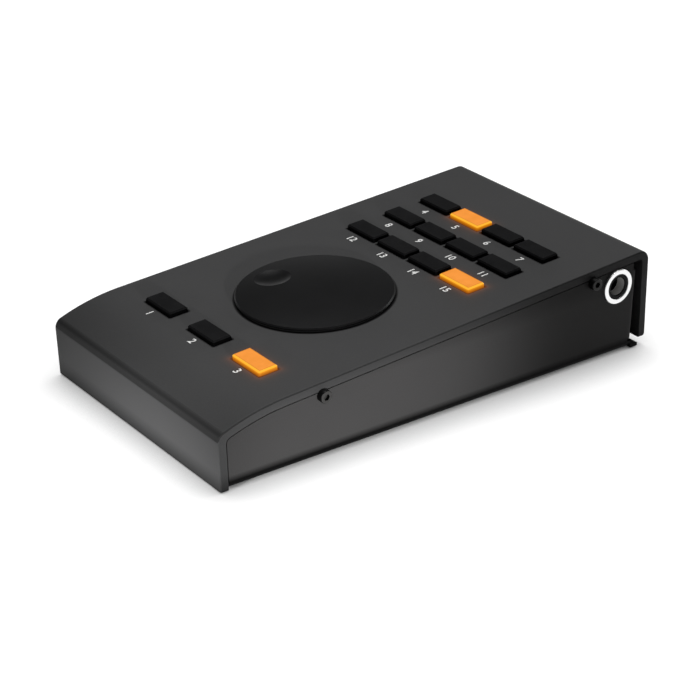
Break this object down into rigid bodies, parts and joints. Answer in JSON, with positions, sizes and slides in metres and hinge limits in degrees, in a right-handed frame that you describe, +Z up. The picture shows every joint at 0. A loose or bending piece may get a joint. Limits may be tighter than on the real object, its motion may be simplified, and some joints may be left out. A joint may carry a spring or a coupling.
{
  "type": "monitor controller",
  "caption": "Wedge-shaped desktop remote with a flat jog wheel, illuminated push keys and a side jack, in a bent metal cover over a tray.",
  "frame": {"origin": "on the table, under the middle of the body", "axes": "+X to the user's right, +Y away from the user along the body, +Z up"},
  "size_m": [0.1046, 0.183, 0.0376],
  "materials": {
    "cover_coating": "fine-textured dark grey powder coat",
    "tray_coating": "fine-textured dark grey powder coat",
    "wheel_coating": "black anodised, satin",
    "key_dark": "smooth black, satin",
    "key_lit": "translucent, lit amber from below",
    "black_steel": "black oxide",
    "block_metal": "zinc plated",
    "plated_metal": "nickel plated",
    "contact_metal": "tinned spring brass",
    "nut_metal": "bright nickel",
    "board": "green solder mask",
    "chip": "black epoxy",
    "switch_plastic": "black",
    "lamp": "clear over a yellow chip",
    "jack_plastic": "black moulding",
    "inlet_plastic": "white moulding",
    "cable": "grey flat cable",
    "foot_rubber": "black"
  },
  "bodies": {
    "base": {"top_cover": "cover_coating", "chassis": "tray_coating", "side_screws": "black_steel", "cover_blocks": "block_metal", "control_board": "board", "board_spacers": "plated_metal", "board_screws": "plated_metal", "key_switches": "switch_plastic", "key_lamps": "lamp", "encoder_body": "switch_plastic", "encoder_nut": "plated_metal", "controller_chip": "chip", "jack_body": "jack_plastic", "jack_contacts": "contact_metal", "jack_sleeve": "contact_metal", "jack_nut": "nut_metal", "inlet_board": "board", "inlet_shell": "plated_metal", "inlet_core": "inlet_plastic", "inlet_spacers": "plated_metal", "inlet_screws": "plated_metal", "link_plug_upper": "inlet_plastic", "link_plug_lower": "inlet_plastic", "link_cable": "cable", "rubber_feet": "foot_rubber"},
    "wheel": {"jog_wheel": "wheel_coating", "encoder_shaft": "plated_metal"},
    "key_front_1": {"key_front_1": "key_dark"},
    "key_front_2": {"key_front_2": "key_dark"},
    "key_front_3": {"key_front_3": "key_lit"},
    "key_a1": {"key_a1": "key_dark"},
    "key_a2": {"key_a2": "key_dark"},
    "key_a3": {"key_a3": "key_dark"},
    "key_a4": {"key_a4": "key_lit"},
    "key_b1": {"key_b1": "key_dark"},
    "key_b2": {"key_b2": "key_dark"},
    "key_b3": {"key_b3": "key_dark"},
    "key_b4": {"key_b4": "key_dark"},
    "key_c1": {"key_c1": "key_dark"},
    "key_c2": {"key_c2": "key_lit"},
    "key_c3": {"key_c3": "key_dark"},
    "key_c4": {"key_c4": "key_dark"}
  },
  "joints": [
    {"name": "wheel_turn", "type": "hinge", "parent": "base", "child": "wheel", "pos_m": [0, -0.01775, 0.0301], "axis": [0, -0.0715, 0.9974], "continuous": true},
    {"name": "key_front_1_press", "type": "slide", "parent": "base", "child": "key_front_1", "axis": [0, 0.0715, -0.9974], "range_m": [0, 0.0008], "stiffness_N_per_m": 1500},
    {"name": "key_front_2_press", "type": "slide", "parent": "base", "child": "key_front_2", "axis": [0, 0.0715, -0.9974], "range_m": [0, 0.0008], "stiffness_N_per_m": 1500},
    {"name": "key_front_3_press", "type": "slide", "parent": "base", "child": "key_front_3", "axis": [0, 0.0715, -0.9974], "range_m": [0, 0.0008], "stiffness_N_per_m": 1500},
    {"name": "key_a1_press", "type": "slide", "parent": "base", "child": "key_a1", "axis": [0, 0.0715, -0.9974], "range_m": [0, 0.0008], "stiffness_N_per_m": 1500},
    {"name": "key_a2_press", "type": "slide", "parent": "base", "child": "key_a2", "axis": [0, 0.0715, -0.9974], "range_m": [0, 0.0008], "stiffness_N_per_m": 1500},
    {"name": "key_a3_press", "type": "slide", "parent": "base", "child": "key_a3", "axis": [0, 0.0715, -0.9974], "range_m": [0, 0.0008], "stiffness_N_per_m": 1500},
    {"name": "key_a4_press", "type": "slide", "parent": "base", "child": "key_a4", "axis": [0, 0.0715, -0.9974], "range_m": [0, 0.0008], "stiffness_N_per_m": 1500},
    {"name": "key_b1_press", "type": "slide", "parent": "base", "child": "key_b1", "axis": [0, 0.0715, -0.9974], "range_m": [0, 0.0008], "stiffness_N_per_m": 1500},
    {"name": "key_b2_press", "type": "slide", "parent": "base", "child": "key_b2", "axis": [0, 0.0715, -0.9974], "range_m": [0, 0.0008], "stiffness_N_per_m": 1500},
    {"name": "key_b3_press", "type": "slide", "parent": "base", "child": "key_b3", "axis": [0, 0.0715, -0.9974], "range_m": [0, 0.0008], "stiffness_N_per_m": 1500},
    {"name": "key_b4_press", "type": "slide", "parent": "base", "child": "key_b4", "axis": [0, 0.0715, -0.9974], "range_m": [0, 0.0008], "stiffness_N_per_m": 1500},
    {"name": "key_c1_press", "type": "slide", "parent": "base", "child": "key_c1", "axis": [0, 0.0715, -0.9974], "range_m": [0, 0.0008], "stiffness_N_per_m": 1500},
    {"name": "key_c2_press", "type": "slide", "parent": "base", "child": "key_c2", "axis": [0, 0.0715, -0.9974], "range_m": [0, 0.0008], "stiffness_N_per_m": 1500},
    {"name": "key_c3_press", "type": "slide", "parent": "base", "child": "key_c3", "axis": [0, 0.0715, -0.9974], "range_m": [0, 0.0008], "stiffness_N_per_m": 1500},
    {"name": "key_c4_press", "type": "slide", "parent": "base", "child": "key_c4", "axis": [0, 0.0715, -0.9974], "range_m": [0, 0.0008], "stiffness_N_per_m": 1500}
  ]
}
